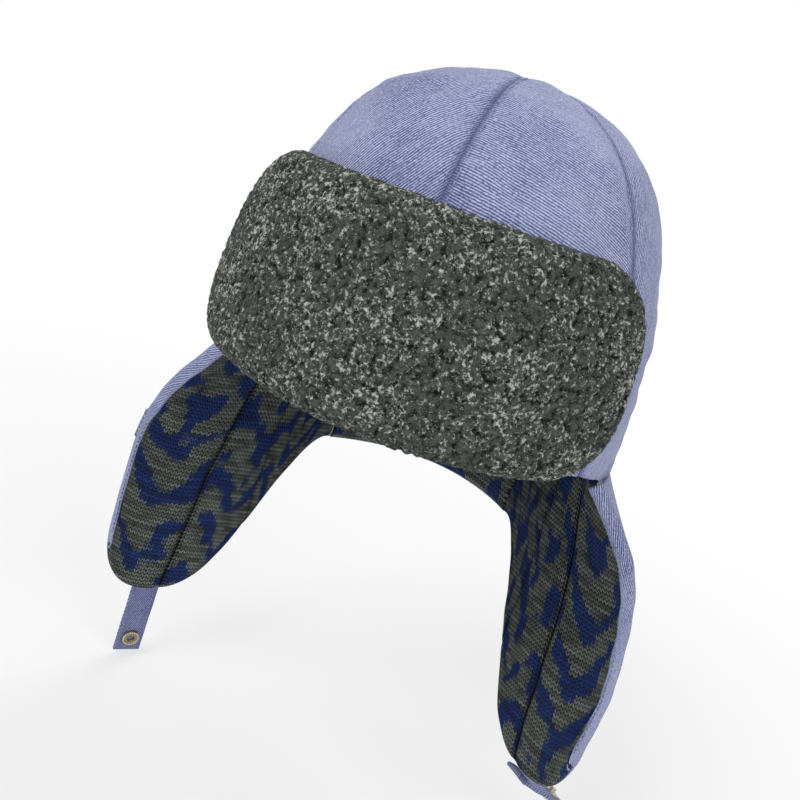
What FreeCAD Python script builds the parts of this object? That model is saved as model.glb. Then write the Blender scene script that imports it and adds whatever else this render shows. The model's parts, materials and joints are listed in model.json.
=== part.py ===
"""Winter trapper hat: padded six-panel crown, fleece front flap, two ear flaps with snap straps, neck flap.

Frame: the origin is the centre of the head opening, in the plane of the rim. +Z runs up the
crown, -Y is the face side and +X is the wearer's left. Lengths are millimetres.
"""
import FreeCAD
import Part
import math
import os
import Sketcher

SIZES = {
    # crown shell: a full rounded dome over an oval opening
    "crown_half_width": 93.0,
    "crown_half_length": 111.0,
    "crown_height": 147.0,
    "crown_fullness": 2.5,
    "brow_rise": 14.0,
    "brow_arc_radius": 303.0,
    "apex_hole_radius": 1.2,
    # cloth layers, outside to inside
    "cloth_thickness": 1.2,
    "batting_thickness": 3.5,
    "knit_thickness": 2.5,
    "layer_gap": 0.06,
    "seam_gap": 0.3,
    # front flap of fleece
    "flap_half_angle": 59.0,
    "flap_bottom": 11.0,
    "flap_height": 80.0,
    "flap_corner_radius": 28.0,
    "flap_standoff": 2.0,
    "backing_thickness": 1.2,
    "interlining_thickness": 1.0,
    "pile_thickness": 6.0,
    # ear flaps
    "ear_front_angle": 80.0,
    "ear_rear_angle": 138.0,
    "ear_top_gap": 6.0,
    "ear_length": 168.0,
    "ear_front_depth": 137.0,
    "ear_rear_depth": 62.0,
    "ear_tip_share": 0.25,
    "ear_hem_power": 1.4,
    "ear_flare_depth": 120.0,
    "ear_front_foot_x": 134.0,
    "ear_front_foot_y": -8.0,
    "ear_rear_foot_x": 57.0,
    "ear_rear_foot_y": 66.0,
    "ear_foot_bulge": 3.0,
    "ear_seam_top": 0.52,
    "ear_seam_hem": 0.31,
    # neck flap
    "neck_top_gap": 3.8,
    "neck_depth": 66.0,
    "neck_side_gap": 1.4,
    "neck_side_gap_growth": 7.0,
    # straps
    "strap_width": 15.0,
    "strap_thickness": 2.4,
    "strap_length": 42.0,
    "strap_tail": 10.0,
    "strap_root_gap": 2.1,
    "strap_left_swing": 60.0,
    "strap_right_swing": 5.0,
    # snap fasteners
    "snap_radius": 4.7,
    "socket_height": 1.7,
    "socket_bore_radius": 2.2,
    "socket_groove_depth": 0.45,
    "socket_groove_width": 0.7,
    "spring_wire_radius": 0.2,
    "ring_height": 0.9,
    "ring_bore_radius": 2.4,
    "prong_circle_radius": 3.3,
    "prong_radius": 0.35,
    "prong_clearance": 0.1,
    "prong_count": 5.0,
    "cap_height": 2.1,
    "cap_post_radius": 1.1,
    "post_clearance": 0.15,
    "stud_flange_height": 0.7,
    "stud_radius": 2.0,
    "stud_height": 2.0,
    "stud_neck_radius": 1.6,
    "face_gap": 0.02,
}

doc = FreeCAD.newDocument("TrapperHat")
sheet = doc.addObject("Spreadsheet::Sheet", "Sizes")
for row, (alias, value) in enumerate(SIZES.items(), start=1):
    sheet.set("A%d" % row, alias)
    sheet.set("B%d" % row, str(value))
    sheet.setAlias("B%d" % row, alias)
doc.recompute()

nodes = []


def size(alias):
    """Value of one named cell."""
    return float(sheet.get(alias))


def spread(start, stop, count):
    """Evenly spaced values, both ends included."""
    return [start + (stop - start) * k / (count - 1) for k in range(count)]


# ---------------------------------------------------------------- cloth solids

def surface_through(grid):
    surface = Part.BSplineSurface()
    surface.interpolate(grid)
    return surface


def thick_cloth(label, outer_grid, inner_grid):
    """Closed solid between two matching grids of points, with ruled edges all round."""
    outer = surface_through(outer_grid)
    inner = surface_through(inner_grid)
    u_low, u_high, v_low, v_high = outer.bounds()
    iu_low, iu_high, iv_low, iv_high = inner.bounds()
    faces = [outer.toShape(), inner.toShape()]
    edge_pairs = [
        (outer.uIso(u_low), inner.uIso(iu_low)),
        (outer.uIso(u_high), inner.uIso(iu_high)),
        (outer.vIso(v_low), inner.vIso(iv_low)),
        (outer.vIso(v_high), inner.vIso(iv_high)),
    ]
    for outer_edge, inner_edge in edge_pairs:
        faces.append(Part.makeRuledSurface(outer_edge.toShape(), inner_edge.toShape()))
    shell = Part.makeShell(faces)
    shell.sewShape(0.01)
    solid = Part.makeSolid(Part.Shell(shell.Faces))
    if solid.Volume < 0:
        solid.reverse()
    piece = doc.addObject("Part::Feature", label)
    piece.Label = label
    piece.Shape = solid
    piece.Placement = FreeCAD.Placement()
    nodes.append(piece)
    return piece


def layer_depths(name):
    """Depth below the outer face at which a layer starts and ends."""
    gap = size("layer_gap")
    cloth = size("cloth_thickness")
    batting = size("batting_thickness")
    knit = size("knit_thickness")
    starts = {
        "cloth": (0.0, cloth),
        "batting": (cloth + gap, cloth + gap + batting),
        "knit": (cloth + batting + 2 * gap, cloth + batting + 2 * gap + knit),
    }
    return starts[name]


# ---------------------------------------------------------------- crown

def rim_height(angle):
    """Height of the rim, which arches up over the brow and is level at the sides and back."""
    forward = size("crown_half_length") * (1.0 - math.cos(angle))
    radius = size("brow_arc_radius")
    under = max(radius ** 2 - forward ** 2, 0.0)
    return max(0.0, size("brow_rise") - radius + math.sqrt(under))


def crown_point(angle, share, depth):
    """Point on the dome: angle 0 is the brow, share 0 the rim and 1 the apex."""
    power = 2.0 / size("crown_fullness")
    half_width = size("crown_half_width") - depth
    half_length = size("crown_half_length") - depth
    height = size("crown_height") - depth
    low = math.asin((rim_height(angle) / height) ** (1.0 / power))
    high = math.acos((size("apex_hole_radius") / half_width) ** (1.0 / power))
    lift = low + (high - low) * share
    ring = math.cos(lift) ** power
    z = height * math.sin(lift) ** power if lift > 0 else 0.0
    return FreeCAD.Vector(half_width * ring * math.sin(angle), -half_length * ring * math.cos(angle), z)


def crown_grid(start_degrees, stop_degrees, depth, columns=9, rows=15):
    trim = math.degrees(0.5 * size("seam_gap") / size("crown_half_width"))
    angles = spread(math.radians(start_degrees + trim), math.radians(stop_degrees - trim), columns)
    return [[crown_point(angle, share, depth) for share in spread(0.0, 1.0, rows)] for angle in angles]


def make_crown():
    panels = [("front", 0.0, 60.0), ("side", 60.0, 120.0), ("back", 120.0, 180.0)]
    for side, name in ((-1, "right"), (1, "left")):
        for place, start, stop in panels:
            low, high = sorted((side * start, side * stop))
            near, far = layer_depths("cloth")
            thick_cloth("crown_panel_%s_%s" % (place, name), crown_grid(low, high, near), crown_grid(low, high, far))
        low, high = sorted((0.0, side * 180.0))
        for layer, label in (("batting", "crown_batting"), ("knit", "crown_lining")):
            near, far = layer_depths(layer)
            thick_cloth("%s_%s" % (label, name), crown_grid(low, high, near, 21), crown_grid(low, high, far, 21))


# ---------------------------------------------------------------- front flap

def flap_columns():
    """Across the flap: distance along the brow, low end and high end of each column."""
    reach = math.radians(size("flap_half_angle")) * 0.5 * (size("crown_half_width") + size("crown_half_length"))
    corner = size("flap_corner_radius")
    bottom = size("flap_bottom")
    top = bottom + size("flap_height")
    columns = []
    for turn in spread(90.0, 0.0, 7):
        run = reach - corner + corner * math.sin(math.radians(turn))
        lift = corner - corner * math.cos(math.radians(turn))
        columns.append((-run, bottom + lift, top - lift))
    middle = [(run, bottom, top) for run in spread(corner - reach, reach - corner, 11)[1:-1]]
    return columns + middle + [(-run, low, high) for run, low, high in reversed(columns)]


def flap_point(run, z, standoff):
    mean_radius = 0.5 * (size("crown_half_width") + size("crown_half_length"))
    angle = run / mean_radius
    fullness = size("crown_fullness")
    ring = (1.0 - (max(z, 0.0) / size("crown_height")) ** fullness) ** (1.0 / fullness)
    across = size("crown_half_width") * ring + standoff
    ahead = size("crown_half_length") * ring + standoff
    return FreeCAD.Vector(across * math.sin(angle), -ahead * math.cos(angle), z)


def flap_grid(standoff):
    return [[flap_point(run, z, standoff) for z in spread(low, high, 9)] for run, low, high in flap_columns()]


def make_front_flap():
    gap = size("layer_gap")
    near = size("flap_standoff")
    layers = [
        ("front_flap_backing", size("backing_thickness")),
        ("front_flap_interlining", size("interlining_thickness")),
        ("front_flap_fleece", size("pile_thickness")),
    ]
    for label, thickness in layers:
        thick_cloth(label, flap_grid(near + thickness), flap_grid(near))
        near += thickness + gap


# ---------------------------------------------------------------- ear flaps

def hem_depth(across):
    """Depth of the ear flap's hem: rounded at the front corner, rising to the neck."""
    tip = size("ear_tip_share")
    length = size("ear_length")
    if across < tip:
        front = size("ear_front_depth")
        return front + (length - front) * math.sqrt(max(0.0, 1.0 - (1.0 - across / tip) ** 2))
    rear = size("ear_rear_depth")
    behind = min((across - tip) / (1.0 - tip), 1.0) ** size("ear_hem_power")
    return rear + (length - rear) * (0.5 + 0.5 * math.cos(math.pi * behind))


def flare(depth):
    """Share of the way from the rim outline to the foot outline at a depth."""
    return 1.0 - (1.0 - min(depth / size("ear_flare_depth"), 1.0)) ** 3


def ear_skin(across, down, side):
    """Outer face of an ear flap: across 0 is the front edge, down 0 the top edge."""
    front, rear = size("ear_front_angle"), size("ear_rear_angle")
    angle = math.radians(front + (rear - front) * across)
    top_x = size("crown_half_width") * math.sin(angle)
    top_y = -size("crown_half_length") * math.cos(angle)
    run_x = size("ear_rear_foot_x") - size("ear_front_foot_x")
    run_y = size("ear_rear_foot_y") - size("ear_front_foot_y")
    length = math.hypot(run_x, run_y)
    bow = size("ear_foot_bulge") * 4.0 * across * (1.0 - across)
    foot_x = size("ear_front_foot_x") + run_x * across + bow * run_y / length
    foot_y = size("ear_front_foot_y") + run_y * across - bow * run_x / length
    gap = size("ear_top_gap")
    depth = gap + (hem_depth(across) - gap) * down
    out = flare(depth)
    return FreeCAD.Vector(side * (top_x + (foot_x - top_x) * out), top_y + (foot_y - top_y) * out, -depth)


def skin_inward(skin, across, down, side):
    """Unit normal of a skin, pointing to the wearer's head."""
    step = 0.004
    left = skin(max(across - step, 0.0), down, side)
    right = skin(min(across + step, 1.0), down, side)
    upper = skin(across, max(down - step, 0.0), side)
    lower = skin(across, min(down + step, 1.0), side)
    normal = (right - left).cross(lower - upper)
    normal.normalize()
    centre = FreeCAD.Vector(0.0, 20.0, -60.0)
    here = skin(across, down, side)
    return normal if normal.dot(centre - here) > 0 else -normal


def skin_grid(skin, shares, side, depth, rows=11):
    grid = []
    for across in shares:
        column = []
        for down in spread(0.0, 1.0, rows):
            point = skin(across, down, side)
            column.append(point + skin_inward(skin, across, down, side) * depth)
        grid.append(column)
    return grid


def ear_shares(start, stop, count):
    """Shares across the flap, closer together near the rounded front corner."""
    low, high = math.acos(1.0 - start), math.acos(1.0 - stop)
    return [1.0 - math.cos(turn) for turn in spread(low, high, count)]


def lining_seam(down):
    """Share across the flap at which the lining's two gores meet: it leans forward to the hem."""
    top = size("ear_seam_top")
    return top + (size("ear_seam_hem") - top) * down


def front_gore(across, down, side):
    slit = 0.5 * size("seam_gap") / 100.0
    return ear_skin((lining_seam(down) - slit) * across, down, side)


def rear_gore(across, down, side):
    start = lining_seam(down) + 0.5 * size("seam_gap") / 100.0
    return ear_skin(start + (1.0 - start) * across, down, side)


def make_ear_flap(name, side):
    close_to_front = ear_shares(0.0, 1.0, 17)
    pieces = [
        ("outer", "cloth", ear_skin, close_to_front),
        ("batting", "batting", ear_skin, close_to_front),
        ("lining_front", "knit", front_gore, ear_shares(0.0, 1.0, 13)),
        ("lining_rear", "knit", rear_gore, spread(0.0, 1.0, 11)),
    ]
    for label, layer, skin, shares in pieces:
        near, far = layer_depths(layer)
        outer = skin_grid(skin, shares, side, near)
        inner = skin_grid(skin, shares, side, far)
        thick_cloth("ear_flap_%s_%s" % (name, label), outer, inner)


# ---------------------------------------------------------------- neck flap

def neck_skin(across, down, side):
    """Outer face of the neck flap: across runs from one ear flap round the nape to the other."""
    turn = 2.0 * across - 1.0
    gap = size("neck_top_gap")
    rear = size("ear_rear_depth")
    hem = size("neck_depth") + (rear - size("neck_depth")) * turn ** 2
    depth = gap + (hem - gap) * down
    slit = size("neck_side_gap") + size("neck_side_gap_growth") * depth / rear
    reach = math.radians(180.0 - size("ear_rear_angle")) - slit / size("crown_half_width")
    angle = math.pi - turn * reach
    edge = math.radians(size("ear_rear_angle"))
    tuck_x = size("ear_rear_foot_x") - size("crown_half_width") * math.sin(edge)
    tuck_y = size("ear_rear_foot_y") + size("crown_half_length") * math.cos(edge)
    out = flare(depth)
    x = size("crown_half_width") * math.sin(angle) + tuck_x * turn * out
    y = -size("crown_half_length") * math.cos(angle) + tuck_y * turn ** 2 * out
    return FreeCAD.Vector(x, y, -depth)


def make_neck_flap():
    for label, layer in (("outer", "cloth"), ("batting", "batting"), ("lining", "knit")):
        near, far = layer_depths(layer)
        shares = spread(0.0, 1.0, 15)
        outer = skin_grid(neck_skin, shares, 1, near, 7)
        inner = skin_grid(neck_skin, shares, 1, far, 7)
        thick_cloth("neck_flap_%s" % label, outer, inner)


# ---------------------------------------------------------------- straps and snaps
# Each strap and its snap share one frame: the origin is the snap's centre, +X is the outside
# face, Z runs up the strap to its root and Y across it.

def new_body(label):
    body = doc.addObject("PartDesign::Body", label)
    body.Label = label
    return body


def origin_plane(body, role):
    for feature in body.Origin.OriginFeatures:
        if feature.Role == role:
            return feature
    raise RuntimeError("no plane %s" % role)


def sketch_on(body, role, name):
    sketch = body.newObject("Sketcher::SketchObject", name)
    sketch.AttachmentSupport = [(origin_plane(body, role), "")]
    sketch.MapMode = "FlatFace"
    return sketch


def drive(target, path, expression):
    """Bind one property or constraint to the sheet: size names are written bare."""
    for name in sorted(SIZES, key=len, reverse=True):
        expression = expression.replace(name, "@%d@" % list(SIZES).index(name))
    for index, name in enumerate(SIZES):
        expression = expression.replace("@%d@" % index, "Sizes." + name)
    target.setExpression(path, expression)


def drive_constraint(sketch, constraint, expression):
    number = sketch.addConstraint(constraint)
    drive(sketch, "Constraints[%d]" % number, expression)


def add_circle(sketch, radius, height=None):
    """Circle on the sketch's vertical axis, at its centre unless a height is given."""
    centre = FreeCAD.Vector(0.0, 3.0 if height else 0.0, 0.0)
    circle = sketch.addGeometry(Part.Circle(centre, FreeCAD.Vector(0, 0, 1), 1.0))
    drive_constraint(sketch, Sketcher.Constraint("Radius", circle, 1.0), radius)
    if height is None:
        sketch.addConstraint(Sketcher.Constraint("Coincident", circle, 3, -1, 1))
        return
    sketch.addConstraint(Sketcher.Constraint("PointOnObject", circle, 3, -2))
    drive_constraint(sketch, Sketcher.Constraint("DistanceY", -1, 1, circle, 3, 3.0), height)


def add_rectangle(sketch, half_width, above, below):
    """Rectangle about the sketch's vertical axis, from below its centre to above it."""
    corners = [(-5.0, -5.0), (5.0, -5.0), (5.0, 5.0), (-5.0, 5.0)]
    points = [FreeCAD.Vector(x, y, 0.0) for x, y in corners]
    for index in range(4):
        sketch.addGeometry(Part.LineSegment(points[index], points[(index + 1) % 4]))
    for index in range(4):
        sketch.addConstraint(Sketcher.Constraint("Coincident", index, 2, (index + 1) % 4, 1))
    for index, kind in enumerate(("Horizontal", "Vertical", "Horizontal", "Vertical")):
        sketch.addConstraint(Sketcher.Constraint(kind, index))
    drive_constraint(sketch, Sketcher.Constraint("DistanceX", 0, 1, -1, 1, 5.0), half_width)
    drive_constraint(sketch, Sketcher.Constraint("DistanceX", -1, 1, 0, 2, 5.0), half_width)
    drive_constraint(sketch, Sketcher.Constraint("DistanceY", 0, 1, -1, 1, 5.0), below)
    drive_constraint(sketch, Sketcher.Constraint("DistanceY", -1, 1, 2, 1, 5.0), above)


def add_pad(body, name, sketch, length, symmetric=False):
    pad = body.newObject("PartDesign::Pad", name)
    pad.Profile = sketch
    pad.SideType = "Symmetric" if symmetric else "One side"
    drive(pad, "Length", length)
    return pad


def add_disc(body, name, radii, start, height):
    """Round disc or ring about the snap's axis, from a start along +X."""
    sketch = sketch_on(body, "YZ_Plane", name + "_outline")
    drive(sketch, "AttachmentOffset.Base.z", start)
    for radius in radii:
        add_circle(sketch, radius)
    return add_pad(body, name, sketch, height)


def cut_through(body, name, radius, height=None):
    """Round hole right through a strap."""
    sketch = sketch_on(body, "YZ_Plane", name + "_outline")
    add_circle(sketch, radius, height)
    pocket = body.newObject("PartDesign::Pocket", name)
    pocket.Profile = sketch
    pocket.SideType = "Symmetric"
    drive(pocket, "Length", "strap_thickness * 3")
    return pocket


def repeat_round_axis(body, name, feature):
    """Copies of a feature round the snap's axis, one for each prong."""
    doc.recompute()
    pattern = body.newObject("PartDesign::PolarPattern", name)
    pattern.Originals = [feature]
    pattern.Axis = (feature.Profile[0], ["N_Axis"])
    pattern.Angle = 360.0
    pattern.Occurrences = int(size("prong_count"))
    body.Tip = pattern
    return pattern


def make_strap(name, prongs):
    body = new_body("strap_" + name)
    sketch = sketch_on(body, "YZ_Plane", "strap_outline_" + name)
    add_rectangle(sketch, "strap_width / 2", "strap_length - strap_tail", "strap_tail")
    add_pad(body, "strap_web_" + name, sketch, "strap_thickness", True)
    edge = sketch_on(body, "XZ_Plane", "strap_root_outline_" + name)
    add_circle(edge, "strap_thickness / 2", "strap_length - strap_tail")
    add_pad(body, "strap_root_" + name, edge, "strap_width", True)
    doc.recompute()
    solid_volume = body.Shape.Volume
    cut_through(body, "strap_post_hole_" + name, "cap_post_radius + post_clearance")
    if prongs:
        hole = cut_through(body, "strap_prong_hole", "prong_radius + prong_clearance", "prong_circle_radius")
        repeat_round_axis(body, "strap_prong_holes", hole)
    doc.recompute()
    if body.Shape.Volume > solid_volume - 1.0:
        raise RuntimeError("the holes of strap_%s cut nothing" % name)
    return body


def make_socket():
    """Snap socket on the inner face, with a groove that holds its spring ring."""
    body = new_body("snap_socket")
    start = "-(strap_thickness / 2 + face_gap + socket_height)"
    add_disc(body, "socket_wall", ["snap_radius", "socket_bore_radius"], start, "socket_height")
    doc.recompute()
    wall_volume = body.Shape.Volume
    sketch = sketch_on(body, "YZ_Plane", "socket_groove_outline")
    middle = "-(strap_thickness / 2 + face_gap + socket_height / 2)"
    drive(sketch, "AttachmentOffset.Base.z", middle)
    add_circle(sketch, "socket_bore_radius + socket_groove_depth")
    groove = body.newObject("PartDesign::Pocket", "socket_groove")
    groove.Profile = sketch
    groove.SideType = "Symmetric"
    drive(groove, "Length", "socket_groove_width")
    doc.recompute()
    if body.Shape.Volume > wall_volume - 1.0:
        raise RuntimeError("the groove of snap_socket cuts nothing")
    return body


def make_socket_spring():
    spring = doc.addObject("Part::Torus", "snap_socket_spring")
    spring.Label = "snap_socket_spring"
    drive(spring, "Radius1", "socket_bore_radius + socket_groove_depth - spring_wire_radius * 1.5")
    drive(spring, "Radius2", "spring_wire_radius")
    return spring


def make_prong_ring():
    """Open ring on the outer face whose prongs go through the strap."""
    body = new_body("snap_prong_ring")
    start = "strap_thickness / 2 + face_gap"
    add_disc(body, "ring_rim", ["snap_radius", "ring_bore_radius"], start, "ring_height")
    sketch = sketch_on(body, "YZ_Plane", "prong_outline")
    drive(sketch, "AttachmentOffset.Base.z", "-strap_thickness / 2")
    add_circle(sketch, "prong_radius", "prong_circle_radius")
    prong = add_pad(body, "prong", sketch, "strap_thickness + face_gap + ring_height / 2")
    repeat_round_axis(body, "prongs", prong)
    return body


def make_cap():
    """Rounded cap on the inner face, with a post that goes through the strap."""
    body = new_body("snap_cap")
    start = "-(strap_thickness / 2 + face_gap + cap_height)"
    add_disc(body, "cap_head", ["snap_radius"], start, "cap_height")
    post = "strap_thickness + face_gap * 2"
    add_disc(body, "cap_post", ["cap_post_radius"], "-(strap_thickness / 2 + face_gap * 2)", post)
    doc.recompute()
    crown_edges = []
    lowest = body.Shape.BoundBox.XMin
    for number, edge in enumerate(body.Shape.Edges, start=1):
        if edge.BoundBox.XMax < lowest + 0.01:
            crown_edges.append("Edge%d" % number)
    blank = body.Tip
    rounding = body.newObject("PartDesign::Fillet", "cap_rounding")
    rounding.Base = (blank, crown_edges)
    drive(rounding, "Radius", "cap_height * 0.8")
    return body


def make_stud():
    body = new_body("snap_stud")
    start = "strap_thickness / 2 + face_gap"
    add_disc(body, "stud_flange", ["snap_radius"], start, "stud_flange_height")
    neck = start + " + stud_flange_height"
    add_disc(body, "stud_neck", ["stud_neck_radius"], neck, "stud_height / 2")
    add_disc(body, "stud_head", ["stud_radius"], neck + " + stud_height / 2", "stud_height / 2")
    return body


def strap_frame(side, swing_degrees):
    """Placement of a strap's frame: it hangs from the middle of the ear flap's hem."""
    across = size("ear_tip_share")
    half_wall = 0.5 * layer_depths("knit")[1]
    root = ear_skin(across, 1.0, side) + skin_inward(ear_skin, across, 1.0, side) * half_wall
    root.z -= size("strap_root_gap")
    run_x = size("ear_rear_foot_x") - size("ear_front_foot_x")
    run_y = size("ear_rear_foot_y") - size("ear_front_foot_y")
    outward = FreeCAD.Vector(side * run_y, -run_x, 0.0)
    outward.normalize()
    swing = math.radians(swing_degrees)
    up = FreeCAD.Vector(0, 0, 1)
    face = outward * math.cos(swing) + up * math.sin(swing)
    along = up * math.cos(swing) - outward * math.sin(swing)
    width = along.cross(face)
    centre = root - along * (size("strap_length") - size("strap_tail"))
    turn = FreeCAD.Rotation(face, width, along, "XZY")
    return FreeCAD.Placement(centre, turn)


def make_straps():
    left = strap_frame(1, size("strap_left_swing"))
    right = strap_frame(-1, size("strap_right_swing"))
    pieces = [
        (make_strap("left", False), left),
        (make_cap(), left),
        (make_stud(), left),
        (make_strap("right", True), right),
        (make_socket(), right),
        (make_prong_ring(), right),
    ]
    for piece, frame in pieces:
        piece.Placement = frame
        nodes.append(piece)
    spring = make_socket_spring()
    offset = -(0.5 * size("strap_thickness") + size("face_gap") + 0.5 * size("socket_height"))
    seat = FreeCAD.Placement(FreeCAD.Vector(offset, 0, 0), FreeCAD.Rotation(FreeCAD.Vector(0, 1, 0), 90))
    spring.Placement = right.multiply(seat)
    nodes.append(spring)


make_crown()
make_front_flap()
make_ear_flap("left", 1)
make_ear_flap("right", -1)
make_neck_flap()
make_straps()
doc.recompute()

for item in doc.Objects:
    if "Invalid" in item.State or "Error" in item.State:
        raise RuntimeError("%s failed: %s" % (item.Label, item.State))
for node in nodes:
    if node.Shape.isNull() or not node.Shape.isValid() or node.Shape.Volume <= 0:
        raise RuntimeError("%s has no valid solid" % node.Label)

os.makedirs("parts", exist_ok=True)
for node in nodes:
    node.Shape.exportStep(os.path.join("parts", node.Label + ".step"))
    print(node.Label, round(node.Shape.Volume / 1000.0, 2), "cm3")
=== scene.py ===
"""Padded trapper hat: chambray crown, fleece front flap, knit-lined ear and neck flaps, snap straps.

The origin is the centre of the head opening. +Z runs up the crown and -Y is the face side.
The cloth is worked out in millimetres and stored in metres.
"""
import bpy
import json
import math
import numpy as np
from bpy.props import FloatProperty, FloatVectorProperty, PointerProperty
from mathutils import Matrix, Vector


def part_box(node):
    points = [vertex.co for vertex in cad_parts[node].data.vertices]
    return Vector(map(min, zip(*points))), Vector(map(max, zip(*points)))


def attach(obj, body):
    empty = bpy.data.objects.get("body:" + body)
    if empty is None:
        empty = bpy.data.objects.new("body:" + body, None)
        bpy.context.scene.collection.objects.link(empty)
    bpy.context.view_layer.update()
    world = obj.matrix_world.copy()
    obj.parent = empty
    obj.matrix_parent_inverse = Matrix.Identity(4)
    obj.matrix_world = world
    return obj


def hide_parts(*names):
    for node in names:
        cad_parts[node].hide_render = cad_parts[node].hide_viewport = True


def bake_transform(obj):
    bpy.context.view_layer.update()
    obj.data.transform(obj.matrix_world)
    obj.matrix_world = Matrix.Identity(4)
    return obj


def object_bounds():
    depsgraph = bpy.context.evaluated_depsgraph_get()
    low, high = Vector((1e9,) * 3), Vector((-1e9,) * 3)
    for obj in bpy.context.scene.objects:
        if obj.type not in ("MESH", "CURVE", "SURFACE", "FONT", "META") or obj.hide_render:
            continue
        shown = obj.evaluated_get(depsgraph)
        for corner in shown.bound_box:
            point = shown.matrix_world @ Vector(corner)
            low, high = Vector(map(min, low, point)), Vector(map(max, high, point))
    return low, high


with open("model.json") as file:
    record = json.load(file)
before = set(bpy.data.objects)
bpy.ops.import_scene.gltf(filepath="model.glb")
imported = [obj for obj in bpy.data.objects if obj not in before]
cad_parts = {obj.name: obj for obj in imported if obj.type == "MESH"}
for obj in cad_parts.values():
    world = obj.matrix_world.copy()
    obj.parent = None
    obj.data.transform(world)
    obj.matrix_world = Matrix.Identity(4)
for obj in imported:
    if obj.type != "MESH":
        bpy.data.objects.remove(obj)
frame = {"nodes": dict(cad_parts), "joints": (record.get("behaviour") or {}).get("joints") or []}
CAD_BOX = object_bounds()

bl_info = {
    "name": "Trapper Hat",
    "version": (1, 0, 0),
    "blender": (4, 5, 0),
    "location": "3D View > Sidebar > Trapper Hat",
    "description": "Builds a padded trapper hat piece by piece over its fixed frame",
    "category": "Object",
}

SIDES = {"left": 1.0, "right": -1.0}


def colour(name, words, default):
    return FloatVectorProperty(name=name, description=words, subtype="COLOR", size=3, min=0.0, max=1.0,
                               default=default)


def length(name, words, default):
    return FloatProperty(name=name, description=words, unit="LENGTH", default=default)


class HatSizes(bpy.types.PropertyGroup):
    """Sizes of the hat, in metres"""
    crown_half_width: length("Crown half width", "Half the outer width at the rim", 0.093)
    crown_half_length: length("Crown half length", "Half the outer length at the rim", 0.111)
    crown_height: length("Crown height", "Height of the dome over the rim", 0.147)
    wall: length("Wall", "Cloth, wadding and knit together", 0.0073)
    seam_dip: length("Seam dip", "How far a crown seam sinks between its panels", 0.0017)
    fleece_pile: length("Fleece pile", "Thickness of the curly fleece", 0.0062)
    curl: length("Fleece curl", "Width of one curl", 0.0029)
    twill: length("Twill line", "Distance from one twill line of the chambray to the next", 0.00115)
    stitch: length("Knit stitch", "Width of one knit stitch", 0.0030)
    strap_width: length("Strap width", "Width of the snap straps", 0.015)


class HatColours(bpy.types.PropertyGroup):
    """Colours of the hat's cloths"""
    chambray: colour("Chambray", "Blue yarn of the twill", (0.050, 0.064, 0.180))
    fleck: colour("Chambray fleck", "Pale yarn that shows through the twill", (0.50, 0.54, 0.76))
    seam: colour("Seam", "Deeper blue along the seams", (0.048, 0.060, 0.190))
    # Dark ground between the curls: partly the wool's own tone, partly painted shade in the hollows.
    fleece_dark: colour("Fleece ground", "Dark ground between the curls", (0.006, 0.008, 0.007))
    fleece_mid: colour("Fleece wool", "Grey wool of the curls", (0.090, 0.105, 0.092))
    fleece_pale: colour("Fleece specks", "Cream tips of some curls", (0.58, 0.59, 0.53))
    knit_grey: colour("Knit grey", "Light heather yarn", (0.310, 0.350, 0.305))
    knit_shade: colour("Knit shade", "Dark heather yarn", (0.075, 0.085, 0.080))
    knit_blue: colour("Knit blue", "Royal blue yarn of the pattern", (0.022, 0.080, 0.340))
    knit_navy: colour("Knit navy", "Navy yarn of the pattern", (0.014, 0.030, 0.150))
    metal: colour("Snap metal", "Pale antique metal", (0.62, 0.58, 0.48))
    pearl: colour("Pearl cap", "Pearl white of the cap", (0.80, 0.78, 0.71))


def sizes():
    return bpy.context.scene.hat_sizes


def colours():
    return bpy.context.scene.hat_colours


# ---------------------------------------------------------------- shapes, in millimetres

FULLNESS = 2.5
EAR = {"front": 80.0, "rear": 138.0, "long": 168.0, "front_depth": 137.0, "rear_depth": 62.0, "tip": 0.25,
       "power": 1.4, "flare": 120.0, "front_foot": (134.0, -8.0), "rear_foot": (57.0, 66.0), "bulge": 3.0,
       "seam_top": 0.52, "seam_hem": 0.31}
NECK_DEPTH = 66.0
STRAP = {"long": 42.0, "snap": 32.0, "tucked": 5.0, "stitch_inset": 1.9}
FLAP = {"half_angle": 59.0, "bottom": 11.0, "height": 80.0, "corner": 31.0, "standoff": 2.0}


def ripple(points, wavelength, seed):
    """Smooth, even unevenness of about -1 to 1 at each point."""
    random = np.random.default_rng(seed)
    total = np.zeros(points.shape[:-1])
    for _ in range(9):
        way = random.normal(size=3)
        way *= 2.0 * math.pi / (wavelength * random.uniform(0.75, 1.5) * np.linalg.norm(way))
        total += np.sin(points @ way + random.uniform(0.0, 2.0 * math.pi))
    return total / 3.2


def rim_height(angle):
    forward = sizes().crown_half_length * 1000.0 * (1.0 - np.cos(angle))
    return np.maximum(0.0, 14.0 - 303.0 + np.sqrt(np.maximum(303.0 ** 2 - forward ** 2, 0.0)))


def crown_skin(angle, share, depth=0.0):
    """Dome: angle 0 is the brow, share 0 the rim and 1 the apex."""
    power = 2.0 / FULLNESS
    half_width = sizes().crown_half_width * 1000.0 - depth
    half_length = sizes().crown_half_length * 1000.0 - depth
    height = sizes().crown_height * 1000.0 - depth
    low = np.arcsin((rim_height(angle) / height) ** (1.0 / power))
    lift = low + (0.5 * math.pi - low) * share
    ring = np.maximum(np.cos(lift), 0.0) ** power
    z = height * np.sin(lift) ** power
    return np.stack([half_width * ring * np.sin(angle), -half_length * ring * np.cos(angle), z], -1)


def flare(depth):
    return 1.0 - (1.0 - np.clip(depth / EAR["flare"], 0.0, 1.0)) ** 3


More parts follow.
